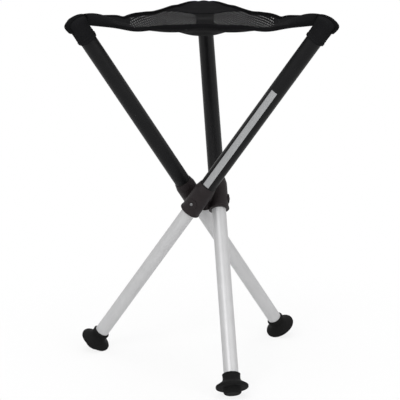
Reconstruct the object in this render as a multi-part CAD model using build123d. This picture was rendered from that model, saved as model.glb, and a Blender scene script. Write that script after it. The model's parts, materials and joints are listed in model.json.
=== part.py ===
from build123d import *
import os
from math import atan2, cos, degrees, hypot, radians, sin, sqrt

# Telescopic tripod stool: three skew legs cross at a pivot hub and sling a mesh seat from their tops.
# Millimetres. The origin is on the floor under the hub, +Z is up and the front is -Y.
# A leg takes its name from the seat corner that it carries, so the rear leg has its foot in front.

# Stance, with the legs spread and drawn out
leg_lean = 36.3  # each leg from the vertical, degrees
pivot_offset = 24.5  # hub axis to the centre line of each leg
upper_reach = 348.0  # pivot to the end of the upper tube, along the leg
lower_reach = 302.0  # pivot to the middle of the foot's flange, along the leg
legs = ("rear", "left", "right")  # round the hub, anticlockwise from above
rear_azimuth = 90.0  # bearing of the rear corner from +X, degrees

# Clearances
running_fit = 0.05  # radial, pivots and lock buttons
slide_fit = 0.10  # radial, lower tube in its collar
tube_gap = 0.3  # radial, lower tube in the upper tube
seated_fit = 0.02  # radial, pieces pressed or glued together
soft_gap = 0.3  # cloth to what it wraps or meets
pad_gap = 0.2  # hub face to collar pad

# Tubes
upper_tube_d = 25.0
upper_tube_wall = 1.2
lower_tube_wall = 1.2
lower_tube_top = 13.0  # lower tube's end above the pivot

# Collar, which holds the upper tube and guides the lower one
collar_wall = 3.0  # round the upper tube
collar_below = 18.0  # pivot down to the collar's mouth
collar_above = 34.0  # pivot up to the collar's top
collar_lip = 0.7  # lip round the mouth, proud of the collar
collar_lip_height = 2.6
collar_lip_round = 0.8
shoulder_height = 9.0
shoulder_step = 0.9  # collar's top edge, proud of the upper tube
shoulder_round = 8.0
shoulder_edge_round = 0.5
socket_floor = 12.0  # pivot up to the upper tube's seat
pad_d = 24.0
pad_cut = 0.5  # pad face inside the collar's round
pad_bevel = 0.8

# Pivot bolt
bolt_shoulder_d = 8.0
bolt_head_d = 11.0
bolt_head_height = 1.3
bolt_head_sink = 0.4  # head below the collar's bore
bolt_thread_d = 6.0
bolt_tip_gap = 3.0  # hub axis to the bolt's tip

# Hub core
hub_height_over_all = 30.0
hub_corner_d = 28.0  # across the trimmed corners
hub_bevel = 1.5

# Lock: a button on the collar presses a sprung pin back through the lower tube
button_travel = 3.0
button_d = 4.8
button_flange_d = 7.1
button_flange_height = 1.3
button_proud = 1.2
button_edge_round = 0.8
button_boss_d = 15.0
button_boss_proud = 1.5  # boss face outside the collar's round
button_boss_round = 1.0
pin_d = 7.0
pin_bevel = 1.0
strip_width = 7.0
strip_thickness = 0.6
strip_end_gap = 1.0  # strip's free end to the bush above it
strip_below = 22.0  # pin axis to the strip's bend
strip_return = 26.0  # bend back up to the strip's other end

# Guide bush on top of the lower tube
bush_height = 7.0
bush_spigot = 6.0
bush_wall = 2.0

# Upper tube's end cap
cap_plug = 14.0
cap_height = 2.0
cap_bevel = 1.2

# Foot
foot_flange_d = 48.5
foot_rim = 4.0  # flange thickness at the rim
foot_rim_round = 1.8
foot_sleeve_wall = 2.2  # round the lower tube
foot_lip = 0.8  # lip proud of the sleeve
foot_lip_height = 3.6
foot_lip_round = 1.2
foot_sleeve_height = 21.0  # flange middle up to the lip's top
foot_flare_height = 9.0  # flange middle up to where the sleeve turns straight
foot_flare_round = 7.0
foot_boss_d = 27.0
foot_boss_round = 4.0
foot_boss_root = 2.0  # rounding where the boss meets the flange
foot_bore_floor = 2.0  # flange middle up to the tube's end
sole_flat = 0.5  # depth to which the rubber presses flat on the floor

# Seat
seat_sag = 26.0  # middle of the seat below the tube ends
front_hem_sag = 10.5  # middle of the front hem below the tube ends
rear_hem_rise = 1.0  # middles of the two rear hems, drawn tighter, above the tube ends
front_corner_sag = 1.0  # cloth's front corners below the tube ends
rear_corner_rise = 2.0  # cloth's rear corner above the tube end
hem_inset = 20.0  # how far each hem curves in from a straight side
hem_d = 7.4
mesh_thickness = 1.2
surface_rows = 7
hem_steps = 8

# Corner patches, sewn on the mesh
patch_thickness = 1.0
rear_patch_reach = 112.0  # rear corner to its patch's inner edge
front_patch_reach = 92.0  # front corners to their patches' inner edges

# Corner pocket
pocket_length = 32.0  # tube end down to the pocket's mouth
pocket_mouth_proud = 1.9  # pocket's outside over the tube, at its mouth
pocket_belly_proud = 4.3  # and at its widest part
pocket_belly_drop = 8.0  # tube end down to the widest part
pocket_round = 6.0
pocket_wall = 1.2

# Worked out from the sizes above
lean = radians(leg_lean)
upper_tube_r = upper_tube_d / 2
upper_bore_r = upper_tube_r - upper_tube_wall
lower_tube_r = upper_bore_r - tube_gap
lower_bore_r = lower_tube_r - lower_tube_wall
guide_r = lower_tube_r + slide_fit
collar_r = upper_tube_r + collar_wall
pad_reach = collar_r - pad_cut  # leg's centre line to the pad face
hub_face = pad_reach + pad_gap  # leg's centre line to the hub face
button_boss_reach = collar_r + button_boss_proud  # leg's centre line to the boss face
button_seat = guide_r + button_travel + slide_fit  # leg's centre line to the button's inner face
pocket_mouth_r = upper_tube_r + pocket_mouth_proud
pocket_belly_r = upper_tube_r + pocket_belly_proud
corner_azimuths = {leg: rear_azimuth + 360 / len(legs) * number for number, leg in enumerate(legs)}
corner_swing = degrees(atan2(upper_reach * sin(lean), pivot_offset))
corner_radius = hypot(upper_reach * sin(lean), pivot_offset)

# The foot stands on its rim and on the edge of its boss at once
rim_drop = (foot_flange_d / 2 - foot_rim_round) * sin(lean) + foot_rim_round
rim_drop += (foot_rim / 2 - foot_rim_round) * cos(lean)
boss_side_drop = (foot_boss_d / 2 - foot_boss_round) * sin(lean) + foot_boss_round
foot_boss_depth = foot_boss_round + (rim_drop - boss_side_drop) / cos(lean)
pivot_height = lower_reach * cos(lean) + rim_drop - sole_flat
corner_height = pivot_height + upper_reach * cos(lean)


def turned(*corners):
    """Solid turned about Z from (radius, height, rounding) corners of its half section."""
    points = [(radius, height) for radius, height, _ in corners]
    roundings = [rounding for _, _, rounding in corners]
    outline = FilletPolyline(*points, radius=roundings, close=True)
    return revolve(Plane.XZ * make_face(outline), Axis.Z)


def rod(radius, low, high):
    """Cylinder along Z."""
    return Pos(0, 0, low) * Cylinder(radius, high - low, align=(Align.CENTER, Align.CENTER, Align.MIN))


def across(piece):
    """Turns a piece made along Z to lie along the pivot, +Z becoming outward."""
    return Rot(0, 90, 0) * piece


def leg_plane(corner_azimuth):
    """A leg's own frame: origin at the pivot, X outward along the pivot, Z up the leg."""
    azimuth = radians(corner_azimuth - corner_swing)
    outward = Vector(cos(azimuth), sin(azimuth), 0)
    up_leg = Vector(-sin(azimuth) * sin(lean), cos(azimuth) * sin(lean), cos(lean))
    pivot = outward * pivot_offset + Vector(0, 0, pivot_height)
    return Plane(origin=pivot, x_dir=outward, z_dir=up_leg)


def collar():
    lip_r = collar_r + collar_lip
    lip_top = collar_lip_height - collar_below
    shoulder_low = collar_above - shoulder_height
    shoulder_r = upper_tube_r + shoulder_step
    body = turned(
        (0, -collar_below, 0),
        (lip_r, -collar_below, collar_lip_round),
        (lip_r, lip_top, collar_lip_round),
        (collar_r, lip_top + collar_lip, 0),
        (collar_r, shoulder_low, shoulder_round),
        (shoulder_r, collar_above, shoulder_edge_round),
        (0, collar_above, 0),
    )
    pad = turned(
        (0, -pad_reach, 0),
        (pad_d / 2 - pad_bevel, -pad_reach, 0),
        (pad_d / 2, pad_bevel - pad_reach, 0),
        (pad_d / 2, 0, 0),
        (0, 0, 0),
    )
    boss = turned(
        (0, 0, 0),
        (button_boss_d / 2, 0, 0),
        (button_boss_d / 2, button_boss_reach, button_boss_round),
        (0, button_boss_reach, 0),
    )
    body += across(pad)
    body += across(boss)
    past_pad = Pos(-pad_reach, 0, 0) * Box(
        2 * collar_r, 4 * collar_r, 4 * collar_above, align=(Align.MAX, Align.CENTER, Align.CENTER)
    )
    body -= past_pad
    body -= rod(guide_r, -collar_below, collar_above)
    body -= rod(upper_tube_r + seated_fit, socket_floor, collar_above)
    head_seat = guide_r + bolt_head_sink + bolt_head_height + running_fit
    body -= across(rod(bolt_shoulder_d / 2 + running_fit, -pad_reach, 0))
    body -= across(rod(bolt_head_d / 2 + running_fit, -head_seat, 0))
    flange_room = button_seat + button_flange_height + running_fit
    body -= across(rod(button_flange_d / 2 + running_fit, 0, flange_room))
    body -= across(rod(button_d / 2 + running_fit, 0, button_boss_reach))
    return body


def pivot_bolt():
    head_face = -guide_r - bolt_head_sink
    head_back = head_face - bolt_head_height
    tip = bolt_tip_gap - pivot_offset
    return across(
        turned(
            (0, tip, 0),
            (bolt_thread_d / 2, tip, 0),
            (bolt_thread_d / 2, -hub_face, 0),
            (bolt_shoulder_d / 2, -hub_face, 0),
            (bolt_shoulder_d / 2, head_back, 0),
            (bolt_head_d / 2, head_back, 0),
            (bolt_head_d / 2, head_face, 0),
            (0, head_face, 0),
        )
    )


def hub_core():
    face_distance = pivot_offset - hub_face
    half_height = hub_height_over_all / 2
    prism = extrude(RegularPolygon(face_distance, 3, major_radius=False), half_height, both=True)
    trim = turned(
        (0, -half_height, 0),
        (hub_corner_d / 2 - hub_bevel, -half_height, 0),
        (hub_corner_d / 2, hub_bevel - half_height, 0),
        (hub_corner_d / 2, half_height - hub_bevel, 0),
        (hub_corner_d / 2 - hub_bevel, half_height, 0),
        (0, half_height, 0),
    )
    face_turn = corner_azimuths["rear"] - corner_swing - 180
    core = Pos(0, 0, pivot_height) * Rot(0, 0, face_turn) * (prism & trim)
    for azimuth in corner_azimuths.values():
        bolt_hole = rod(bolt_thread_d / 2 + seated_fit, bolt_tip_gap - pivot_offset - seated_fit, -hub_face)
        core -= leg_plane(azimuth) * across(bolt_hole)
    return core


def upper_tube():
    return rod(upper_tube_r, socket_floor, upper_reach) - rod(upper_bore_r, socket_floor, upper_reach)


def top_cap():
    top = upper_reach + cap_height
    return turned(
        (0, upper_reach - cap_plug, 0),
        (upper_bore_r - seated_fit, upper_reach - cap_plug, 0),
        (upper_bore_r - seated_fit, upper_reach, 0),
        (upper_tube_r, upper_reach, 0),
        (upper_tube_r, top - cap_bevel, 0),
        (upper_tube_r - cap_bevel, top, 0),
        (0, top, 0),
    )


def pocket_outside(room):
    """The pocket's closed outer form, grown by room."""
    mouth = upper_reach - pocket_length - room
    belly = upper_reach - pocket_belly_drop
    top = upper_reach + cap_height + soft_gap + pocket_wall + room
    return turned(
        (0, mouth, 0),
        (pocket_mouth_r + room, mouth, 0),
        (pocket_belly_r + room, belly, pocket_round),
        (pocket_belly_r + room, top, pocket_round + room),
        (0, top, 0),
    )


def pocket_room():
    """Room that the seat leaves round a pocket and past the end of its tube."""
    past_end = rod(pocket_belly_r + soft_gap, upper_reach - pocket_belly_drop, upper_reach + pocket_length)
    return pocket_outside(soft_gap) + past_end


def corner_pocket():
    inside_r = upper_tube_r + soft_gap
    inside_top = upper_reach + cap_height + soft_gap
    inside = turned(
        (0, upper_reach - pocket_length, 0),
        (inside_r, upper_reach - pocket_length, 0),
        (inside_r, inside_top - cap_bevel, 0),
        (inside_r - cap_bevel, inside_top, 0),
        (0, inside_top, 0),
    )
    return pocket_outside(0) - inside


def lower_tube():
    bottom = foot_bore_floor - lower_reach
    tube = rod(lower_tube_r, bottom, lower_tube_top) - rod(lower_bore_r, bottom, lower_tube_top)
    return tube - across(rod(pin_d / 2 + running_fit, 0, 2 * lower_tube_r))


def guide_bush():
    spigot_r = lower_bore_r - seated_fit
    flange_r = upper_bore_r - running_fit
    bore_r = spigot_r - bush_wall
    top = lower_tube_top + bush_height
    return turned(
        (bore_r, lower_tube_top - bush_spigot, 0),
        (spigot_r, lower_tube_top - bush_spigot, 0),
        (spigot_r, lower_tube_top, 0),
        (flange_r, lower_tube_top, 0),
        (flange_r, top, 0),
        (bore_r, top, 0),
    )


def snap_clip():
    edge_r = lower_bore_r - slide_fit
    leaf = sqrt(edge_r**2 - (strip_width / 2) ** 2) - strip_thickness / 2
    free_end = lower_tube_top - bush_spigot - strip_end_gap
    front = Line((leaf, free_end), (leaf, -strip_below))
    bend = ThreePointArc(front @ 1, (0, -strip_below - leaf), (-leaf, -strip_below))
    back = Line(bend @ 1, (-leaf, strip_return - strip_below))
    strip = trace(front + bend + back, line_width=strip_thickness)
    spring = extrude(Plane.XZ * strip, strip_width / 2, both=True)
    pin_end = button_seat - slide_fit
    pin = turned(
        (0, leaf, 0),
        (pin_d / 2, leaf, 0),
        (pin_d / 2, pin_end - pin_bevel, 0),
        (pin_d / 2 - pin_bevel, pin_end, 0),
        (0, pin_end, 0),
    )
    return spring + across(pin)


def lock_button():
    flange_top = button_seat + button_flange_height
    face = button_boss_reach + button_proud
    return across(
        turned(
            (0, button_seat, 0),
            (button_flange_d / 2, button_seat, 0),
            (button_flange_d / 2, flange_top, 0),
            (button_d / 2, flange_top, 0),
            (button_d / 2, face, button_edge_round),
            (0, face, 0),
        )
    )


def foot():
    half_rim = foot_rim / 2
    lip_low = foot_sleeve_height - foot_lip_height
    bore_r = lower_tube_r + seated_fit
    sleeve_r = lower_tube_r + foot_sleeve_wall
    form = turned(
        (0, -foot_boss_depth, 0),
        (foot_boss_d / 2, -foot_boss_depth, foot_boss_round),
        (foot_boss_d / 2, -half_rim, foot_boss_root),
        (foot_flange_d / 2, -half_rim, foot_rim_round),
        (foot_flange_d / 2, half_rim, foot_rim_round),
        (sleeve_r, foot_flare_height, foot_flare_round),
        (sleeve_r, lip_low, 0),
        (sleeve_r + foot_lip, lip_low + foot_lip_height / 2, foot_lip_round),
        (bore_r, foot_sleeve_height, 0),
        (bore_r, foot_bore_floor, 0),
        (0, foot_bore_floor, 0),
    )
    return Pos(0, 0, -lower_reach) * form


def side_middle_radius():
    """Hub axis to the middle of a hem, in plan."""
    return corner_radius / 2 - hem_inset


def on_ring(radius, azimuth, height):
    return Vector(radius * cos(radians(azimuth)), radius * sin(radians(azimuth)), height)


def seat_height(x, y):
    """Height of the slack cloth, lowest in the middle and rising to the hems and corners."""
    side = side_middle_radius()
    corner_rise = seat_sag + (rear_corner_rise - 2 * front_corner_sag) / 3
    side_rise = seat_sag + (2 * rear_hem_rise - front_hem_sag) / 3
    fold = (corner_rise / corner_radius**2 - side_rise / side**2) / (corner_radius + side)
    bowl = corner_rise / corner_radius**2 - fold * corner_radius
    corner_tilt = (rear_corner_rise + front_corner_sag) / (1.5 * corner_radius)
    side_tilt = (rear_hem_rise + front_hem_sag) / (1.5 * side)
    spread = x**2 + y**2
    outward = (spread - side**2) / (corner_radius**2 - side**2)
    tilt = side_tilt + (corner_tilt - side_tilt) * outward
    return corner_height - seat_sag + bowl * spread + fold * (y**3 - 3 * y * x**2) + tilt * y


def seat_surface():
    reach = corner_radius * 1.05
    steps = [reach * (2 * row / (surface_rows - 1) - 1) for row in range(surface_rows)]
    grid = [[(x, y, seat_height(x, y)) for y in steps] for x in steps]
    return Face.make_surface_from_array_of_points(grid, min_deg=3, max_deg=3)


def seat_side(start_azimuth, end_azimuth):
    """Plan of one side of the seat, hollow between its corners."""
    start = on_ring(corner_radius, start_azimuth, 0)
    end = on_ring(corner_radius, end_azimuth, 0)
    middle = (start + end).normalized() * side_middle_radius()
    return ThreePointArc(start, middle, end)


def seat_outline():
    """Tall prism over the seat's plan, with its sides on the hems' centre lines."""
    rear, left, right = corner_azimuths.values()
    sides = [seat_side(rear, left), seat_side(left, right), seat_side(right, rear)]
    return extrude(make_face(sides), corner_height + upper_reach)


def patch_outline(azimuth, reach):
    """Tall prism over a corner patch's plan: from its straight inner edge out past the corner."""
    inner_edge = Pos(corner_radius - reach, 0, 0)
    tall = 2 * (corner_height + upper_reach)
    block = Box(corner_radius, 2 * corner_radius, tall, align=(Align.MIN, Align.CENTER, Align.CENTER))
    return Rot(0, 0, azimuth) * inner_edge * block


def seat_hem(start_azimuth, end_azimuth):
    """Round binding along the cloth's own edge."""
    side = seat_side(start_azimuth, end_azimuth)
    places = [side @ (step / hem_steps) for step in range(hem_steps + 1)]
    line = Spline([Vector(place.X, place.Y, seat_height(place.X, place.Y)) for place in places])
    return sweep(Plane(origin=line @ 0, z_dir=line % 0) * Circle(hem_d / 2), path=line)


def seat():
    """The mesh panel, its corner patches and its hems, cut clear of the corner pockets."""
    rear, left, right = corner_azimuths.values()
    hems = {
        "seat_hem_front": seat_hem(left, right),
        "seat_hem_left": seat_hem(rear, left),
        "seat_hem_right": seat_hem(right, rear),
    }
    surface = seat_surface()
    panel = extrude(surface, mesh_thickness, dir=(0, 0, -1)) & seat_outline()
    cover = extrude(Pos(0, 0, soft_gap) * surface, patch_thickness, dir=(0, 0, 1)) & seat_outline()
    patches = {}
    for leg, azimuth in corner_azimuths.items():
        pocket_space = leg_plane(azimuth) * pocket_room()
        panel -= pocket_space
        reach = rear_patch_reach if leg == "rear" else front_patch_reach
        patches[f"corner_patch_{leg}"] = (cover & patch_outline(azimuth, reach)) - pocket_space
        hems = {name: hem - pocket_space for name, hem in hems.items()}
    for hem in hems.values():
        panel -= hem
        patches = {name: patch - hem for name, patch in patches.items()}
    return {"seat_mesh": panel, **patches, **hems}


def all_pieces():
    pieces = {"hub_core": hub_core(), **seat()}
    leg_pieces = {
        "pivot_bolt": pivot_bolt(),
        "collar": collar(),
        "upper_tube": upper_tube(),
        "top_cap": top_cap(),
        "corner_pocket": corner_pocket(),
        "lower_tube": lower_tube(),
        "guide_bush": guide_bush(),
        "snap_clip": snap_clip(),
        "lock_button": lock_button(),
        "foot": foot(),
    }
    under_floor = Box(
        4 * lower_reach, 4 * lower_reach, foot_flange_d, align=(Align.CENTER, Align.CENTER, Align.MAX)
    )
    for leg, azimuth in corner_azimuths.items():
        for name, piece in leg_pieces.items():
            pieces[f"{name}_{leg}"] = leg_plane(azimuth) * piece
        pieces[f"foot_{leg}"] -= under_floor
    return pieces


os.makedirs("parts", exist_ok=True)
for node, piece in all_pieces().items():
    export_step(piece, f"parts/{node}.step")
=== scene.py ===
import json
from math import atan2, copysign, cos, exp, hypot, pi, radians, sin, sqrt

import bmesh
import bpy
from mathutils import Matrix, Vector


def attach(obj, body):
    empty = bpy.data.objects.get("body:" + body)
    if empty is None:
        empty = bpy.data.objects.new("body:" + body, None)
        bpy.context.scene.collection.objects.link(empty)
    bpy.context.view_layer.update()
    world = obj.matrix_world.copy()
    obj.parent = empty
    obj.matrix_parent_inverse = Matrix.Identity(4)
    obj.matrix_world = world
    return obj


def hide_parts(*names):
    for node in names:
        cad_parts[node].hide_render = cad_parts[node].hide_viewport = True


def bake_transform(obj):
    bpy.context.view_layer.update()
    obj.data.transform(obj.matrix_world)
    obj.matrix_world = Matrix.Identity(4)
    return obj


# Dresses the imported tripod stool: soft seat, corner pockets, materials, floor, light and camera.
# Metres, in the frame of the CAD model: origin on the floor under the hub, front towards -Y.

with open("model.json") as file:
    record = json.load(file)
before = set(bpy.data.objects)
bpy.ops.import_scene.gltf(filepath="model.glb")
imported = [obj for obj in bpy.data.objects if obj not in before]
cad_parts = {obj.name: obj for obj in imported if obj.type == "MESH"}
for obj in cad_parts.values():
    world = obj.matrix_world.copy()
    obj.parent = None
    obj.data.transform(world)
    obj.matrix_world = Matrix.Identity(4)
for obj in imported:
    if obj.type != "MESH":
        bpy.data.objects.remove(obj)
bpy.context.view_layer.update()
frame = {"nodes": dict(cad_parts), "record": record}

# Sizes shared with the part
upper_reach = 0.348  # pivot to the end of the upper tube
upper_tube_r = 0.0125
seat_sag = 0.026
front_hem_sag = 0.0105
rear_hem_rise = 0.001
front_corner_sag = 0.001
rear_corner_rise = 0.002
hem_inset = 0.020
patch_reaches = {"rear": 0.112, "left": 0.092, "right": 0.092}

# How the front corners' cloth is drawn up on its rear side
corner_twist = 0.70  # slope across the corner's line
corner_lift = 0.0022
corner_twist_reach = 0.050
corner_twist_fade = 0.030  # twist and lift come in over this distance from a sector's edge
corner_dip = 0.0024  # dip in the rear hem beside the corner
corner_dip_reach = 0.0985  # from the tube's end
corner_dip_width = 0.010
corner_dip_side = 0.020  # dip is whole this far to the rear of the corner's line

# How the rest of the cloth lies over the CAD model's plain bowl
belly_lift = 0.0047  # seat is flatter round its middle
belly_inner = 0.015
belly_crest = 0.055
belly_outer = 0.085
quarter_lift = 0.0022  # and drawn up between its middle and the front hem's quarters
quarter_aside = 0.058
quarter_forward = 0.032
quarter_half_width = 0.018
quarter_half_depth = 0.030
front_hem_start = 0.055  # front hem's own shape comes in from here
front_hem_full = 0.100  # and is whole here, in front of the hub axis
hem_droop = 0.0050  # front hem hangs lower beside its middle
hem_droop_aside = 0.093
hem_droop_width = 0.024
hem_middle_rise = 0.006  # and higher at its middle
hem_middle_width = 0.075
rear_hem_arch = 0.0023  # rear hems stand higher round their middles
rear_arch_start = 0.045  # from the hub axis, square to the hem
rear_arch_full = 0.080
rear_arch_crest = 0.048  # along the hem, from its middle
rear_arch_end = 0.078

# Net, hems and stitches
net_pitch = 0.0046  # across the net's diamonds
net_length = 0.0094  # along the net's diamonds
net_hole = 0.275  # size of a diamond's hole, as a share of the diamond
net_thickness = 0.0003
net_squeeze = net_length / 3  # diamonds drawn in further than this are left out
cut_tolerance = 1e-7
merge_tolerance = 1e-6
hem_half_width = 0.0026
hem_half_height = 0.0031
hem_fullness = 0.75  # power of the section: 1 is an ellipse, less is fuller
hem_pucker = 0.0003
hem_pucker_length = 0.041
hem_steps = 34
hem_sides = 16
hem_end_share = 0.965  # hem ends inside the pocket, as a share of its half length
hem_stitch_share = 0.9  # and its stitches end before it
hem_stitch_drop = 0.35  # stitch row below the hem's middle line, as a share of its half height
share_step = 0.01  # step along the hem that gives its direction
stitch_length = 0.0032
stitch_pitch = 0.0048
stitch_r = 0.00035
stitch_sides = 6
stitch_profile = ((-0.5, 0.45), (-0.36, 1.0), (0.36, 1.0), (0.5, 0.45))  # place and thickness, as shares

# Corner patches
patch_thickness = 0.0011
patch_lift = 0.0008
patch_fold = 0.0008
patch_folds_per_turn = 17
patch_fold_full = 0.042  # from the tube's end, folds are whole from here
patch_fold_fade = 0.065  # to here
patch_fold_end = 0.115  # and gone here
patch_edge_bow = 10.0  # how strongly a patch's inner edge curves, per metre
patch_overlap = 0.006  # net reaches this far under a patch
patch_hem_share = 0.93  # patch leaves the hem here, as a share of the hem's half length
patch_rows = 22
patch_columns = 14
patch_seams = (0.04, 0.11)  # stitch rows, as shares of the way from the inner edge to the pocket
seam_steps = 60
seam_free_steps = 2  # left without stitches beside the hem
pocket_grip = 0.012  # patch ends this far from the tube's end
pocket_drape = 0.080  # and starts to rise to its ridge here
ridge_rise = 0.0117  # ridge's end over the tube's end
ridge_slope = 0.12  # and how it climbs from there towards the seat
bisection_steps = 40

legs = ("rear", "left", "right")
joints = {joint["name"]: joint for joint in frame["record"]["behaviour"]["joints"]}


class Leg:
    """A leg's frame at rest: pivot, directions, tube end and bearing of its seat corner."""

    def __init__(self, name):
        self.name = name
        self.pivot = Vector(joints[f"fold_{name}"]["pos_m"])
        self.outward = Vector(joints[f"fold_{name}"]["axis"])
        self.up = Vector(joints[f"slide_{name}"]["axis"])
        self.under = self.up.cross(self.outward)  # square to the leg, outward and down
        self.tip = self.pivot + self.up * upper_reach
        self.bearing = atan2(self.tip.y, self.tip.x)

    def at(self, height, radius, turn):
        """Point beside the leg, turn measured from outward towards under."""
        return self.pivot + self.up * height + self.side(turn) * radius

    def side(self, turn):
        return self.outward * cos(turn) + self.under * sin(turn)

    def upright(self):
        """Rotation that sets the leg upright."""
        return self.up.rotation_difference(Vector((0, 0, 1)))


stool_legs = {name: Leg(name) for name in legs}
corner_radius = hypot(stool_legs["rear"].tip.x, stool_legs["rear"].tip.y)
corner_height = stool_legs["rear"].tip.z


# Node materials: colours go from the first to the second, and so does the roughness

noise_roughness = 0.55
moulded_cloud = 38.0  # scales of the clouds in colour and gloss, per metre
tube_cloud = 45.0
cloth_cloud = 60.0
tape_cloud = 90.0
drawn_lines = 900.0  # scale of the lines on a drawn tube
drawn_stretch = 0.012  # and their scale along the tube, as a share
drawn_depth = 0.00003
wave_turn = 20  # radians of Blender's wave texture per metre at scale 1
cloth_rough = (0.62, 0.86)
tape_rough = (0.60, 0.85)
pocket_thread_r = 0.0150  # about a pocket's radius, where its threads are counted


def add_node(tree, kind, **values):
    made = tree.nodes.new(kind)
    for name, value in values.items():
        made.inputs[name.replace("_", " ")].default_value = value
    return made


def math_node(tree, operation, *values):
    made = tree.nodes.new("ShaderNodeMath")
    made.operation = operation
    for socket, value in zip(made.inputs, values):
        if isinstance(value, (int, float)):
            socket.default_value = value
        else:
            tree.links.new(value, socket)
    return made.outputs[0]


def mean(tree, first, second):
    return math_node(tree, "MULTIPLY", math_node(tree, "ADD", first, second), 0.5)


def ripple(tree, distance, rate):
    """Sine of a distance or turn times a rate, from -1 to 1."""
    return math_node(tree, "SINE", math_node(tree, "MULTIPLY", distance, rate))


def lifted(tree, wave):
    """Wave from -1 to 1, brought to 0 to 1."""
    return math_node(tree, "MULTIPLY_ADD", wave, 0.5, 0.5)


def spread(tree, factor, low, high):
    """Number from low to high as factor goes from 0 to 1."""
    made = add_node(tree, "ShaderNodeMapRange", To_Min=low, To_Max=high)
    tree.links.new(factor, made.inputs["Value"])
    return made.outputs[0]


def tint(tree, factor, low, high):
    """Colour from low to high as factor goes from 0 to 1."""
    ramp_node = tree.nodes.new("ShaderNodeValToRGB")
    ramp_node.color_ramp.elements[0].color = (*low, 1)
    ramp_node.color_ramp.elements[1].color = (*high, 1)
    tree.links.new(factor, ramp_node.inputs[0])
    return ramp_node.outputs["Color"]


def noise(tree, place, scale, detail=3.0):
    made = add_node(tree, "ShaderNodeTexNoise", Scale=scale, Detail=detail, Roughness=noise_roughness)
    tree.links.new(place, made.inputs["Vector"])
    return made.outputs[0]


def object_place(tree, rotation=(0, 0, 0), location=(0, 0, 0)):
    coords = tree.nodes.new("ShaderNodeTexCoord")
    mapping = add_node(tree, "ShaderNodeMapping", Rotation=rotation, Location=location)
    tree.links.new(coords.outputs["Object"], mapping.inputs["Vector"])
    return mapping.outputs[0]


def start_material(name, **values):
    """New material and its Principled shader, with the values that are the same all over."""
    made = bpy.data.materials.new(name)
    made.use_nodes = True
    shader = made.node_tree.nodes["Principled BSDF"]
    for key, value in values.items():
        shader.inputs[key.replace("_", " ")].default_value = value
    return made, made.node_tree, shader


def set_bump(tree, shader, height, depth):
    bump = add_node(tree, "ShaderNodeBump", Strength=1.0, Distance=depth)
    tree.links.new(height, bump.inputs["Height"])
    tree.links.new(bump.outputs[0], shader.inputs["Normal"])


def moulded(name, colours, rough, grain, depth, **values):
    """Moulded or coated surface: mottled colour, uneven gloss and a fine grain."""
    made, tree, shader = start_material(name, **values)
    place = object_place(tree)
    cloud = noise(tree, place, moulded_cloud)
    fine = noise(tree, place, grain, detail=2.0)
    tree.links.new(tint(tree, cloud, *colours), shader.inputs["Base Color"])
    tree.links.new(spread(tree, mean(tree, cloud, fine), *rough), shader.inputs["Roughness"])
    set_bump(tree, shader, fine, depth)
    return made


def drawn_metal(name, leg, colours, rough, **values):
    """Drawn tube: faint lines along the leg, with small clouds in the colour."""
    made, tree, shader = start_material(name, **values)
    place = object_place(tree, tuple(leg.upright().to_euler()))
    stretched = add_node(tree, "ShaderNodeMapping", Scale=(1, 1, drawn_stretch))
    tree.links.new(place, stretched.inputs["Vector"])
    lines = noise(tree, stretched.outputs[0], drawn_lines, detail=4.0)
    cloud = noise(tree, place, tube_cloud)
    tree.links.new(tint(tree, mean(tree, lines, cloud), *colours), shader.inputs["Base Color"])
    tree.links.new(spread(tree, lines, *rough), shader.inputs["Roughness"])
    set_bump(tree, shader, lines, drawn_depth)
    return made


def shade_threads(tree, shader, threads, colours, rough, cloud_scale, depth):
    """Colour, gloss and relief of threads, with soft clouds over them."""
    cloud = noise(tree, object_place(tree), cloud_scale)
    tree.links.new(tint(tree, mean(tree, threads, cloud), *colours), shader.inputs["Base Color"])
    tree.links.new(spread(tree, cloud, *rough), shader.inputs["Roughness"])
    set_bump(tree, shader, threads, depth)


def woven(name, turns, colours, pitch, depth, **values):
    """Woven or knitted cloth in plan: bands of thread across each of the turns."""
    made, tree, shader = start_material(name, **values)
    bands = []
    for turn in turns:
        wave = add_node(tree, "ShaderNodeTexWave", Scale=2 * pi / (wave_turn * pitch), Distortion=0.4,
                        Detail_Scale=40.0)
        wave.bands_direction = "X"
        tree.links.new(object_place(tree, (0, 0, turn)), wave.inputs["Vector"])
        bands.append(wave.outputs["Fac"])
    weave = math_node(tree, "MULTIPLY", *bands)
    shade_threads(tree, shader, weave, colours, cloth_rough, cloth_cloud, depth)
    return made


def sewn_round(name, leg, colours, pitch, depth, **values):
    """Woven cloth sewn into a tube round a leg: bands of thread along it and round it."""
    made, tree, shader = start_material(name, **values)
    upright = leg.upright()
    place = object_place(tree, tuple(upright.to_euler()), tuple(-(upright @ leg.tip)))
    parts = tree.nodes.new("ShaderNodeSeparateXYZ")
    tree.links.new(place, parts.inputs[0])
    around = math_node(tree, "ARCTAN2", parts.outputs["Y"], parts.outputs["X"])
    thread_count = round(2 * pi * pocket_thread_r / pitch)
    bands = ripple(tree, parts.outputs["Z"], 2 * pi / pitch), ripple(tree, around, thread_count)
    weave = lifted(tree, math_node(tree, "MULTIPLY", *bands))
    shade_threads(tree, shader, weave, colours, cloth_rough, cloth_cloud, depth)
    return made


def ribbed(name, colours, pitch, depth, **values):
    """Tape or thread with ribs across its run, which the mesh carries as a distance."""
    made, tree, shader = start_material(name, **values)
    run = tree.nodes.new("ShaderNodeAttribute")
    run.attribute_name = "run"
    ribs = lifted(tree, ripple(tree, run.outputs["Fac"], 2 * pi / pitch))
    shade_threads(tree, shader, ribs, colours, tape_rough, tape_cloud, depth)
    return made


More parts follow.
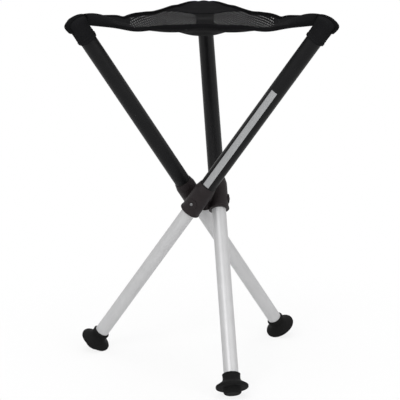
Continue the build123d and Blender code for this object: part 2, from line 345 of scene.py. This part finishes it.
black_plastic = moulded(
    "moulded_black_plastic", colours=((0.011, 0.0085, 0.009), (0.021, 0.017, 0.018)), rough=(0.42, 0.60),
    grain=1700.0, depth=0.00006, Specular_IOR_Level=0.14,
)
rubber = moulded(
    "black_rubber", colours=((0.005, 0.005, 0.005), (0.011, 0.011, 0.011)), rough=(0.66, 0.88),
    grain=950.0, depth=0.00010, Specular_IOR_Level=0.08,
)
steel = moulded(
    "bright_zinc", colours=((0.50, 0.50, 0.51), (0.68, 0.68, 0.69)), rough=(0.22, 0.36),
    grain=1200.0, depth=0.00002, Metallic=1.0,
)
button_steel = moulded(
    "dull_zinc", colours=((0.13, 0.13, 0.135), (0.22, 0.22, 0.225)), rough=(0.30, 0.45),
    grain=1200.0, depth=0.00002, Metallic=1.0,
)
acetal = moulded(
    "natural_acetal", colours=((0.66, 0.66, 0.63), (0.78, 0.78, 0.76)), rough=(0.40, 0.55),
    grain=800.0, depth=0.00003,
)
black_tube = moulded(
    "black_powder_coat", colours=((0.0035, 0.0035, 0.004), (0.007, 0.007, 0.0075)), rough=(0.36, 0.50),
    grain=2200.0, depth=0.00004, Specular_IOR_Level=0.13,
)
label_film = moulded(
    "bare_label_film", colours=((0.27, 0.275, 0.28), (0.34, 0.345, 0.35)), rough=(0.42, 0.58),
    grain=700.0, depth=0.00001,
)
bright_tubes = {
    name: drawn_metal(
        f"satin_aluminium_{name}", leg, colours=((0.43, 0.43, 0.435), (0.59, 0.59, 0.595)),
        rough=(0.36, 0.52), Metallic=0.35, Specular_IOR_Level=0.30,
    )
    for name, leg in stool_legs.items()
}
net_slant = atan2(net_pitch, net_length)
net_cloth = woven(
    "net_cloth", (net_slant, -net_slant), colours=((0.002, 0.002, 0.0022), (0.008, 0.008, 0.0085)),
    pitch=net_pitch * cos(net_slant), depth=0.0002, Specular_IOR_Level=0.03,
)
closed_weave = {
    "colours": ((0.006, 0.006, 0.0065), (0.015, 0.015, 0.016)),
    "pitch": 0.0011,
    "depth": 0.00012,
    "Specular_IOR_Level": 0.005,
}
patch_cloth = woven("patch_cloth", (0, pi / 2), **closed_weave)
pocket_cloths = {
    name: sewn_round(f"pocket_cloth_{name}", leg, **closed_weave) for name, leg in stool_legs.items()
}
binding = ribbed(
    "hem_binding", colours=((0.004, 0.004, 0.0045), (0.010, 0.010, 0.0105)), pitch=0.0017, depth=0.00015,
    Specular_IOR_Level=0.005,
)
thread = ribbed(
    "stitching_thread", colours=((0.008, 0.008, 0.0085), (0.018, 0.018, 0.019)), pitch=0.0006,
    depth=0.00005, Specular_IOR_Level=0.08,
)

node_materials = {
    "hub_core": black_plastic,
    "pivot_bolt": steel,
    "collar": black_plastic,
    "upper_tube": black_tube,
    "top_cap": black_plastic,
    "guide_bush": acetal,
    "snap_clip": steel,
    "lock_button": button_steel,
    "foot": rubber,
}
for name, made in bright_tubes.items():
    node_materials[f"lower_tube_{name}"] = made
for node_name, node_object in frame["nodes"].items():
    family = next((key for key in node_materials if node_name.startswith(key)), None)
    if family:
        node_object.data.materials.clear()
        node_object.data.materials.append(node_materials[family])


# Mesh building

sharp_angle = radians(65)


class Shape:
    """Points and faces gathered for one piece, with a distance along its run at each point."""

    def __init__(self):
        self.points = []
        self.faces = []
        self.runs = []

    def ring(self, points, run=0.0):
        first = len(self.points)
        self.points += points
        self.runs += [run] * len(points)
        return list(range(first, first + len(points)))

    def tube(self, rings, close_start=True):
        for low, high in zip(rings, rings[1:]):
            for number in range(len(low)):
                after = (number + 1) % len(low)
                self.faces.append((low[number], low[after], high[after], high[number]))
        if close_start:
            self.faces.append(tuple(reversed(rings[0])))
        self.faces.append(tuple(rings[-1]))

    def plate(self, top, bottom):
        """Closed sheet from two grids of point numbers."""
        rows, columns = len(top), len(top[0])
        for row in range(rows - 1):
            for column in range(columns - 1):
                corners = ((row, column), (row, column + 1), (row + 1, column + 1), (row + 1, column))
                self.faces.append(tuple(top[r][c] for r, c in corners))
                self.faces.append(tuple(bottom[r][c] for r, c in reversed(corners)))
        edge = [(0, c) for c in range(columns)] + [(r, columns - 1) for r in range(1, rows)]
        edge += [(rows - 1, c) for c in range(columns - 2, -1, -1)]
        edge += [(r, 0) for r in range(rows - 2, 0, -1)]
        for here, there in zip(edge, edge[1:] + edge[:1]):
            self.faces.append((top[here[0]][here[1]], bottom[here[0]][here[1]],
                               bottom[there[0]][there[1]], top[there[0]][there[1]]))

    def piece(self, name, material, slot):
        mesh = bpy.data.meshes.new(name)
        mesh.from_pydata(self.points, [], self.faces)
        mesh.attributes.new("run", "FLOAT", "POINT").data.foreach_set("value", self.runs)
        mesh.materials.append(material)
        mesh.update()
        mesh.shade_smooth()
        mesh.set_sharp_from_angle(angle=sharp_angle)
        made = bpy.data.objects.new(name, mesh)
        bpy.context.scene.collection.objects.link(made)
        return made


def stitch(shape, middle, along, out):
    """One rounded stitch, lying along a seam."""
    across = along.cross(out).normalized()
    turns = [2 * pi * k / stitch_sides for k in range(stitch_sides)]
    rings = []
    for place, size in stitch_profile:
        centre = middle + along * (place * stitch_length)
        ring = [centre + (across * cos(t) + out * sin(t)) * (stitch_r * size) for t in turns]
        rings.append(shape.ring(ring, (place + 0.5) * stitch_length))
    shape.tube(rings)


# The seat's cloth

side_middle = corner_radius / 2 - hem_inset
side_half = corner_radius * sqrt(3) / 2
side_arc_r = (side_half**2 + hem_inset**2) / (2 * hem_inset)
side_arc_centre = side_middle + side_arc_r  # from the hub axis, along the sector's edge
side_swing = atan2(side_half, side_arc_r - hem_inset)  # turn of the arc from a hem's middle to its corner
hem_length = side_arc_r * side_swing


def ramp(value, start, end):
    """0 at start and 1 at end, easing between them."""
    share = min(max((value - start) / (end - start), 0.0), 1.0)
    return share * share * (3 - 2 * share)


def bell(distance, width):
    """1 at no distance, dying away past the width."""
    return exp(-((distance / width) ** 2))


def seat_height(x, y):
    """Height of the slack cloth in the CAD model."""
    corner_rise = seat_sag + (rear_corner_rise - 2 * front_corner_sag) / 3
    side_rise = seat_sag + (2 * rear_hem_rise - front_hem_sag) / 3
    fold = (corner_rise / corner_radius**2 - side_rise / side_middle**2) / (corner_radius + side_middle)
    bowl = corner_rise / corner_radius**2 - fold * corner_radius
    corner_tilt = (rear_corner_rise + front_corner_sag) / (1.5 * corner_radius)
    side_tilt = (rear_hem_rise + front_hem_sag) / (1.5 * side_middle)
    plan = x**2 + y**2
    outward = (plan - side_middle**2) / (corner_radius**2 - side_middle**2)
    tilt = side_tilt + (corner_tilt - side_tilt) * outward
    return corner_height - seat_sag + bowl * plan + fold * (y**3 - 3 * y * x**2) + tilt * y


def seat_rise(x, y):
    """How far the seen cloth lies over the CAD model's, away from the front corners."""
    middle, aside, forward = hypot(x, y), abs(x), -y
    rise = belly_lift * ramp(middle, belly_inner, belly_crest) * ramp(middle, belly_outer, belly_crest)
    quarter = bell(aside - quarter_aside, quarter_half_width)
    rise += quarter_lift * quarter * bell(forward - quarter_forward, quarter_half_depth)
    front = ramp(forward, front_hem_start, front_hem_full)
    rise -= hem_droop * front * bell(aside - hem_droop_aside, hem_droop_width)
    rise += hem_middle_rise * front * bell(x, hem_middle_width)
    to_rear_hem = aside * cos(pi / 6) + y * sin(pi / 6)
    along_rear_hem = abs(aside * sin(pi / 6) - y * cos(pi / 6))
    arch = rear_hem_arch * ramp(to_rear_hem, rear_arch_start, rear_arch_full)
    return rise + arch * ramp(along_rear_hem, rear_arch_end, rear_arch_crest)


class Half:
    """Half of one corner's third of the seat: p runs to the corner, v from the corner's line to the hem."""

    def __init__(self, leg, turn):
        self.leg = leg
        self.turn = turn
        self.name = f"{leg.name}_{'a' if turn > 0 else 'b'}"
        self.along = Vector((cos(leg.bearing), sin(leg.bearing), 0))
        self.across = Vector((-sin(leg.bearing), cos(leg.bearing), 0)) * turn
        self.net_reach = corner_radius - patch_reaches[leg.name]

    def flat(self, p, v):
        return self.along * p + self.across * v

    def plan(self, place):
        return place.dot(self.along), place.dot(self.across)

    def corner_pull(self, p, v):
        """How far a front corner's cloth is drawn up on its rear side, less the dip in the hem beside it."""
        if self.leg.name == "rear":
            return 0.0
        far = hypot(corner_radius - p, v)
        rearward = v if self.across.y > 0 else -v
        from_edge = p * sin(pi / 3) - v * cos(pi / 3)
        fade = exp(-far / corner_twist_reach) * ramp(from_edge, 0.0, corner_twist_fade)
        dip = corner_dip * ramp(rearward, -corner_dip_side, corner_dip_side)
        dip *= bell(far - corner_dip_reach, corner_dip_width)
        return (corner_twist * rearward + corner_lift) * fade - dip

    def height(self, p, v):
        """Height of the cloth as it is seen."""
        place = self.flat(p, v)
        return seat_height(place.x, place.y) + self.corner_pull(p, v) + seat_rise(place.x, place.y)

    def point(self, p, v, lift=0.0):
        place = self.flat(p, v)
        place.z = self.height(p, v)
        return place + self.normal(p, v) * lift if lift else place

    def normal(self, p, v):
        step = 0.0005
        slope_p = (self.height(p + step, v) - self.height(p - step, v)) / (2 * step)
        slope_v = (self.height(p, v + step) - self.height(p, v - step)) / (2 * step)
        return (Vector((0, 0, 1)) - self.along * slope_p - self.across * slope_v).normalized()

    def hem_place(self, share):
        """Plan place on the hem, from its middle (0) to its corner (1)."""
        swing = side_swing * share
        inward = side_arc_centre - side_arc_r * cos(swing)
        sideways = side_arc_r * sin(swing)
        return (inward * cos(pi / 3) + sideways * sin(pi / 3), inward * sin(pi / 3) - sideways * cos(pi / 3))

    def hem_frame(self, share):
        """Point on the hem's middle line, its directions along, out and up, and its half width."""
        middle = self.point(*self.hem_place(share))
        along = (self.point(*self.hem_place(share + share_step)) - middle).normalized()
        out = along.cross(Vector((0, 0, 1))).normalized() * self.turn
        up = out.cross(along).normalized() * self.turn
        half_width = hem_half_width + hem_pucker * cos(2 * pi * share * hem_length / hem_pucker_length)
        return middle, along, out, up, half_width

    def held(self, place):
        """Plan place drawn in to the hem's middle line, or to just under the patch, if it lies past them."""
        p, v = self.plan(place)
        from_arc = Vector((p - side_arc_centre * cos(pi / 3), v - side_arc_centre * sin(pi / 3)))
        shift = from_arc * max(side_arc_r / from_arc.length - 1, 0.0)
        p, v = p + shift.x, v + shift.y
        return self.flat(min(p, self.patch_edge(v) + patch_overlap), v)

    def patch_edge(self, v):
        """How far out the patch's inner edge lies."""
        return self.net_reach - patch_edge_bow * v * v

    def follow(self, piece):
        """Bakes a piece's placing into its mesh."""
        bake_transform(piece)
        return piece


def net_diamonds(half):
    """Flat net of diamonds, each with a small hole, cut to the half's sector."""
    made = bmesh.new()
    corners = {}

    def corner(column, row):
        if (column, row) not in corners:
            place = Vector((column * net_pitch / 2, row * net_length / 2, 0))
            corners[column, row] = made.verts.new(half.held(place))
        return corners[column, row]

    columns = int(2 * corner_radius / net_pitch)
    rows = int(2 * corner_radius / net_length)
    edge_side = half.across * cos(pi / 3) - half.along * sin(pi / 3)
    for column in range(-columns, columns + 1):
        for row in range(-rows, rows + 1):
            middle = Vector((column * net_pitch / 2, row * net_length / 2, 0))
            outside = middle.dot(half.across) < -net_length or middle.dot(edge_side) > net_length
            if (column + row) % 2 or outside or (half.held(middle) - middle).length > net_squeeze:
                continue
            rim = [corner(column + c, row + r) for c, r in ((1, 0), (0, 1), (-1, 0), (0, -1))]
            centre = sum((vert.co for vert in rim), Vector()) / 4
            hole = [made.verts.new(centre + (vert.co - centre) * net_hole) for vert in rim]
            for k in range(4):
                made.faces.new((rim[k], rim[(k + 1) % 4], hole[(k + 1) % 4], hole[k]))
    for side in (-half.across, edge_side):
        everything = made.verts[:] + made.edges[:] + made.faces[:]
        bmesh.ops.bisect_plane(made, geom=everything, dist=cut_tolerance, plane_co=(0, 0, 0), plane_no=side,
                               clear_outer=True)
    return made


def net(half):
    """Knitted net: the sheet of diamonds, hung and given its thickness."""
    made = net_diamonds(half)
    for vert in made.verts:
        vert.co.z = half.height(*half.plan(vert.co))
    bmesh.ops.dissolve_degenerate(made, dist=merge_tolerance, edges=made.edges[:])
    made.normal_update()
    made.verts.index_update()
    shape = Shape()
    top = shape.ring([vert.co.copy() for vert in made.verts])
    bottom = shape.ring([vert.co - vert.normal * net_thickness for vert in made.verts])
    for face in made.faces:
        numbers = [vert.index for vert in face.verts]
        shape.faces.append(tuple(top[number] for number in numbers))
        shape.faces.append(tuple(bottom[number] for number in reversed(numbers)))
    for edge in made.edges:
        if edge.is_boundary:
            loop = edge.link_loops[0]
            here, there = loop.vert.index, loop.link_loop_next.vert.index
            shape.faces.append((top[there], top[here], bottom[here], bottom[there]))
    made.free()
    return shape.piece(f"seat_net_{half.name}", net_cloth, "seat_mesh")


def patch_meets_hem(half):
    """Share of the hem's half length at which the patch's inner edge meets it."""
    low, high = 0.0, 1.0
    for _ in range(bisection_steps):
        middle = (low + high) / 2
        p, v = half.hem_place(middle)
        if p < half.patch_edge(v):
            low = middle
        else:
            high = middle
    return low


def patch_place(half, across, outward):
    """Plan place on the patch, by shares: from the corner's line to the hem, from inner edge to pocket."""
    hem_share = patch_meets_hem(half)
    edge_p, edge_v = half.hem_place(hem_share)
    grip_p, grip_v = half.hem_place(patch_hem_share)
    grip_turn = atan2(grip_v, corner_radius - grip_p) * across
    inner = (half.patch_edge(edge_v * across), edge_v * across)
    outer = (corner_radius - pocket_grip * cos(grip_turn), pocket_grip * sin(grip_turn))
    hem_p, hem_v = half.hem_place(hem_share + (patch_hem_share - hem_share) * outward)
    bow = across**4
    p = inner[0] + (outer[0] - inner[0]) * outward + (hem_p - edge_p - (grip_p - edge_p) * outward) * bow
    v = inner[1] + (outer[1] - inner[1]) * outward + (hem_v - edge_v - (grip_v - edge_v) * outward) * bow
    return p, v


def patch_point(half, across, outward):
    """Point on the patch's upper side: folds run to the corner, where it rises to a ridge by the pocket."""
    p, v = patch_place(half, across, outward)
    far = hypot(corner_radius - p, v)
    bearing = atan2(v, corner_radius - p)
    fade = ramp(far, pocket_grip, patch_fold_full) * ramp(far, patch_fold_end, patch_fold_fade)
    fold = patch_fold * cos(bearing * patch_folds_per_turn) * fade
    base = half.point(p, v, patch_lift + fold)
    over = ramp(far, pocket_drape, pocket_grip) * (1 - across**2)
    ridge = corner_height + ridge_rise + ridge_slope * (far - pocket_grip)
    base.z += max(ridge - base.z, 0.0) * over
    return base


def patch(half):
    """Closed cloth over a corner of the net."""
    shape = Shape()
    top, bottom = [], []
    for row in range(patch_rows + 1):
        columns = range(patch_columns + 1)
        upper = [patch_point(half, column / patch_columns, row / patch_rows) for column in columns]
        lower = [point - half.normal(*half.plan(point)) * patch_thickness for point in upper]
        top.append(shape.ring(upper))
        bottom.append(shape.ring(lower))
    if half.turn > 0:
        top, bottom = [row[::-1] for row in top], [row[::-1] for row in bottom]
    shape.plate(top, bottom)
    return shape.piece(f"seat_patch_{half.name}", patch_cloth, "webbing")


def fuller(value):
    """Sine or cosine for a section that is fuller than an ellipse."""
    return copysign(abs(value) ** hem_fullness, value)


def hem(half):
    """Folded binding along half a side, a little puckered by its stitching."""
    shape = Shape()
    turns = [2 * pi * k / hem_sides for k in range(hem_sides)]
    rings = []
    for step in range(hem_steps + 1):
        share = hem_end_share * step / hem_steps
        middle, _, out, up, half_width = half.hem_frame(share)
        ring = [middle + out * (fuller(cos(t)) * half_width) + up * (fuller(sin(t)) * hem_half_height)
                for t in turns]
        rings.append(shape.ring(ring if half.turn < 0 else ring[::-1], share * hem_length))
    shape.tube(rings, close_start=False)
    return shape.piece(f"seat_hem_{half.name}", binding, "webbing")


def seat_stitches(half):
    """Rows of stitches along the hem's outer face and inside the patch's inner edge."""
    shape = Shape()
    for number in range(int(hem_stitch_share * hem_length / stitch_pitch)):
        share = (number + 0.5) * stitch_pitch / hem_length
        middle, along, out, up, half_width = half.hem_frame(share)
        stitch(shape, middle + out * half_width - up * (hem_half_height * hem_stitch_drop), along, out)
    for inset in patch_seams:
        points = [patch_point(half, k / seam_steps, inset) for k in range(seam_steps + 1 - seam_free_steps)]
        run = 0.5 * stitch_pitch
        for here, there in zip(points, points[1:]):
            step = there - here
            while run < step.length:
                middle = here + step * (run / step.length)
                stitch(shape, middle, step.normalized(), half.normal(*half.plan(middle)))
                run += stitch_pitch
            run -= step.length
    return shape.piece(f"seat_stitching_{half.name}", thread, "webbing")


# Seat pieces for both halves of each corner's third, in place of the CAD model's seat parts
for leg in stool_legs.values():
    for turn in (1, -1):
        half = Half(leg, turn)
        net_piece = half.follow(net(half))
        patch_piece = half.follow(patch(half))
        hem_piece = half.follow(hem(half))
        stitch_piece = half.follow(seat_stitches(half))
        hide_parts("seat_mesh")
        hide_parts(f"corner_patch_{leg.name}")
        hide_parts("seat_hem_front", "seat_hem_left", "seat_hem_right")


# Corner pockets: heights from the tube's end

pocket_sides = 56
pocket_top_drop = 0.0036  # how much lower the top lies on the seat's side
pocket_top_r = 0.0146  # at this radius
pocket_top_start = 0.003  # and wholly so from this height on
gather_depth = 0.00035
gather_count = 9
gather_phases = {"rear": 4, "left": 4, "right": 5}  # radians
gather_top = 0.006  # gathers fade in from here
gather_full = -0.014  # down to here
sag_depth = 0.0005  # pocket is a little oval
sag_phase = 0.7  # radians
sag_start = -0.030  # from here
sag_full = -0.010  # up to here
full_gather_r = 0.012  # gathers and sag die out towards the middle of the top inside this radius
mouth_seams = (-0.0288, -0.0240)
turn_step = 0.05  # step round a pocket that gives its direction, in radians
tab_half_width = 0.0065
tab_thickness = 0.0017
tab_lift = 0.0002
tab_low = -0.0075
tab_curve_r = 0.025  # tab curves across its width
tab_columns = 8
pocket_inside = -0.020  # a point inside the pocket, which the tab faces away from
path_steps = 3  # steps between two points of the section


def rounded_path(corners):
    """Smooth line through points (Catmull-Rom)."""
    made = []
    for number in range(len(corners) - 1):
        before = corners[max(number - 1, 0)]
        here, there = corners[number], corners[number + 1]
        after = corners[min(number + 2, len(corners) - 1)]
        for step in range(path_steps):
            t = step / path_steps
            made.append(tuple(
                b + t / 2 * (c - a + t * (2 * a - 5 * b + 4 * c - d + t * (3 * b - a - 3 * c + d)))
                for a, b, c, d in zip(before, here, there, after)
            ))
    made.append(corners[-1])
    return made


# Half section of a pocket, as radius and height: from inside the mouth up to the middle of the top
pocket_section = rounded_path([
    (0.0131, -0.0300), (0.0135, -0.0320), (0.0145, -0.0316), (0.0148, -0.0290), (0.0143, -0.0264),
    (0.0144, -0.0200), (0.0147, -0.0130), (0.0151, -0.0085), (0.0159, -0.0045), (0.0165, 0.0004),
    (0.0154, 0.0043), (0.0110, 0.0063), (0.0060, 0.0069), (0.0004, 0.0070),
])


def top_slope(radius, height):
    """How much lower the pocket's top lies on the seat's side."""
    return pocket_top_drop * radius / pocket_top_r * ramp(height, 0.0, pocket_top_start)


def pocket_point(leg, radius, height, turn):
    """Point on a pocket, gathered towards its mouth and a little oval above it."""
    height -= top_slope(radius, height) * max(0.0, -sin(turn))
    gather = gather_depth * sin(gather_count * turn + gather_phases[leg.name])
    sag = sag_depth * cos(2 * turn + sag_phase)
    swell = gather * ramp(height, gather_top, gather_full) + sag * ramp(height, sag_start, sag_full)
    return leg.at(upper_reach + height, radius + swell * min(1, radius / full_gather_r), turn)


def pocket(leg):
    """Sewn cloth cap over the end of an upper tube."""
    shape = Shape()
    turns = [2 * pi * k / pocket_sides for k in range(pocket_sides)]
    rings = [shape.ring([pocket_point(leg, radius, height, t) for t in turns])
             for radius, height in pocket_section]
    shape.tube(rings, close_start=False)
    return shape.piece(f"pocket_{leg.name}", pocket_cloths[leg.name], "webbing")


def pocket_tab(leg):
    """Webbing tab, sewn over the end of the pocket from its under side to the seat."""
    shape = Shape()
    outer = [(r, h) for r, h in pocket_section if h > tab_low]
    path = outer + [(-r, h - top_slope(r, h)) for r, h in reversed(outer)]
    spine = [leg.under * r + leg.up * h for r, h in path]
    top, bottom = [], []
    run = 0.0
    for before, place, after in zip(spine[:1] + spine, spine, spine[1:] + spine[-1:]):
        out = (after - before).normalized().cross(leg.outward).normalized()
        if out.dot(place - leg.up * pocket_inside) < 0:
            out = -out
        upper, lower = [], []
        for k in range(tab_columns + 1):
            aside = tab_half_width * (2 * k / tab_columns - 1)
            base = leg.tip + place + leg.outward * aside - out * (aside**2 / (2 * tab_curve_r))
            upper.append(base + out * (tab_lift + tab_thickness))
            lower.append(base + out * tab_lift)
        top.append(shape.ring(upper, run))
        bottom.append(shape.ring(lower, run))
        run += (after - place).length
    shape.plate(top, bottom)
    return shape.piece(f"pocket_tab_{leg.name}", binding, "webbing")


def pocket_radius(height):
    """A pocket's outer radius, between its mouth and its top."""
    for (radius, low), (next_radius, high) in zip(pocket_section, pocket_section[1:]):
        if low <= height < high:
            return radius + (next_radius - radius) * (height - low) / (high - low)


def pocket_stitches(leg):
    """Two rows of stitches round a pocket's mouth."""
    shape = Shape()
    for height in mouth_seams:
        radius = pocket_radius(height)
        count = int(2 * pi * radius / stitch_pitch)
        for number in range(count):
            turn = 2 * pi * number / count
            place = pocket_point(leg, radius, height, turn)
            ahead = pocket_point(leg, radius, height, turn + turn_step) - place
            stitch(shape, place, ahead.normalized(), leg.side(turn))
    return shape.piece(f"pocket_stitching_{leg.name}", thread, "webbing")


for leg in stool_legs.values():
    for made in (pocket(leg), pocket_tab(leg), pocket_stitches(leg)):
        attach(made, f"upper_leg_{leg.name}")
    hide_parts(f"corner_pocket_{leg.name}")


# Bare label strip on the right leg's upper tube

label_low = 0.036
label_high = 0.221
label_half_width = 0.0051
label_thickness = 0.0002
label_gap = 0.00004
label_turn = radians(18)  # from the side that faces the front, towards the upper side
label_rows = 40
label_columns = 12


def label_strip():
    leg = stool_legs["right"]
    front = Vector((0, -1, 0))
    middle = atan2(front.dot(leg.under), front.dot(leg.outward)) - label_turn
    half_turn = label_half_width / upper_tube_r
    turns = [middle + half_turn * (2 * k / label_columns - 1) for k in range(label_columns + 1)]
    shape = Shape()
    top, bottom = [], []
    for row in range(label_rows + 1):
        height = label_low + (label_high - label_low) * row / label_rows
        top.append(shape.ring([leg.at(height, upper_tube_r + label_thickness, t) for t in turns]))
        bottom.append(shape.ring([leg.at(height, upper_tube_r + label_gap, t) for t in turns]))
    shape.plate(top, bottom)
    return shape.piece("label_strip", label_film, "black_tube")


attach(label_strip(), "upper_leg_right")


# Snap clips, with their pins pressed in as when a leg slides or a button is pushed

pressed_pin_reach = 0.0105  # leg's centre line to the end of a pressed pin


def sprung_clip(leg):
    node = frame["nodes"][f"snap_clip_{leg.name}"]
    shape = Shape()
    points = []
    for vertex in node.data.vertices:
        place = node.matrix_world @ vertex.co
        past = (place - leg.pivot).dot(leg.outward) - pressed_pin_reach
        points.append(place - leg.outward * max(past, 0.0))
    shape.ring(points)
    shape.faces = [tuple(face.vertices) for face in node.data.polygons]
    return shape.piece(f"sprung_clip_{leg.name}", steel, "steel")


for leg in stool_legs.values():
    clip_piece = sprung_clip(leg)
    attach(clip_piece, f"lower_leg_{leg.name}")
    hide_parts(f"snap_clip_{leg.name}")


# Floor, light and camera

floor_half = 6
floor_grey = 0.95
clear_near = 0.84  # how clear the floor is near the stool, to rays that show the backdrop
near_radius = 0.22
clear_radius = 0.60  # and from here on it is fully clear
ambient_strength = 0.38
lamp_target = Vector((0, 0, 0.3))
camera_distance = 2.082
camera_height = 0.698
camera_turn = radians(0.65)
camera_pitch = radians(12.43)


def shows_backdrop(tree):
    """1 for rays that show the background itself: seen, reflected or passed through."""
    path = tree.nodes.new("ShaderNodeLightPath")
    seen = math_node(tree, "ADD", path.outputs["Is Camera Ray"], path.outputs["Is Glossy Ray"])
    seen = math_node(tree, "ADD", seen, path.outputs["Is Transmission Ray"])
    return math_node(tree, "MINIMUM", seen, 1.0)


def mix_shaders(tree, share, first, second, output):
    mix = tree.nodes.new("ShaderNodeMixShader")
    tree.links.new(share, mix.inputs[0])
    tree.links.new(first.outputs[0], mix.inputs[1])
    tree.links.new(second.outputs[0], mix.inputs[2])
    tree.links.new(mix.outputs[0], output.inputs["Surface"])


def floor_material():
    """Pale floor that shows the white backdrop through it and keeps a faint shadow."""
    made = bpy.data.materials.new("pale_floor")
    made.use_nodes = True
    tree = made.node_tree
    tree.nodes.clear()
    diffuse = add_node(tree, "ShaderNodeBsdfDiffuse", Color=(floor_grey, floor_grey, floor_grey, 1))
    clear = add_node(tree, "ShaderNodeBsdfTransparent", Color=(1, 1, 1, 1))
    coords = tree.nodes.new("ShaderNodeTexCoord")
    reach = tree.nodes.new("ShaderNodeVectorMath")
    reach.operation = "LENGTH"
    tree.links.new(coords.outputs["Object"], reach.inputs[0])
    away = add_node(tree, "ShaderNodeMapRange", From_Min=near_radius, From_Max=clear_radius,
                    To_Min=clear_near, To_Max=1.0)
    away.interpolation_type = "SMOOTHSTEP"
    tree.links.new(reach.outputs["Value"], away.inputs["Value"])
    share = math_node(tree, "MULTIPLY", shows_backdrop(tree), away.outputs[0])
    mix_shaders(tree, share, diffuse, clear, tree.nodes.new("ShaderNodeOutputMaterial"))
    return made


floor_corners = [(floor_half * x, floor_half * y, 0) for x, y in ((-1, -1), (1, -1), (1, 1), (-1, 1))]
floor_mesh = bpy.data.meshes.new("floor")
floor_mesh.from_pydata(floor_corners, [], [(0, 1, 2, 3)])
floor_mesh.materials.append(floor_material())
floor = bpy.data.objects.new("floor", floor_mesh)
bpy.context.scene.collection.objects.link(floor)

world = bpy.data.worlds.new("studio")
bpy.context.scene.world = world
world.use_nodes = True
world_tree = world.node_tree
ambient = world_tree.nodes["Background"]
ambient.inputs["Color"].default_value = (1, 1, 1, 1)
ambient.inputs["Strength"].default_value = ambient_strength
backdrop = add_node(world_tree, "ShaderNodeBackground", Color=(1, 1, 1, 1), Strength=1.0)
mix_shaders(world_tree, shows_backdrop(world_tree), ambient, backdrop, world_tree.nodes["World Output"])


def soft_box(name, place, size, power):
    lamp = bpy.data.lights.new(name, "AREA")
    lamp.shape = "SQUARE"
    lamp.size = size
    lamp.energy = power
    made = bpy.data.objects.new(name, lamp)
    made.location = place
    made.rotation_mode = "QUATERNION"
    made.rotation_quaternion = (lamp_target - Vector(place)).to_track_quat("-Z", "Y")
    bpy.context.scene.collection.objects.link(made)


soft_box("key", place=(-1.1, -2.2, 1.9), size=1.4, power=36)
soft_box("fill", place=(1.6, -1.6, 1.1), size=1.6, power=16)
soft_box("top", place=(0, 0.3, 2.4), size=1.8, power=26)

camera = bpy.data.objects.new("camera", bpy.data.cameras.new("camera"))
camera.data.lens = 123.75
camera.data.sensor_width = 36
camera.data.shift_x = -0.006
camera.data.shift_y = 0.02825
camera.location = (camera_distance * sin(camera_turn), -camera_distance * cos(camera_turn), camera_height)
camera.rotation_euler = (pi / 2 - camera_pitch, 0, camera_turn)
bpy.context.scene.collection.objects.link(camera)
bpy.context.scene.camera = camera
bpy.context.scene.view_settings.view_transform = "Standard"
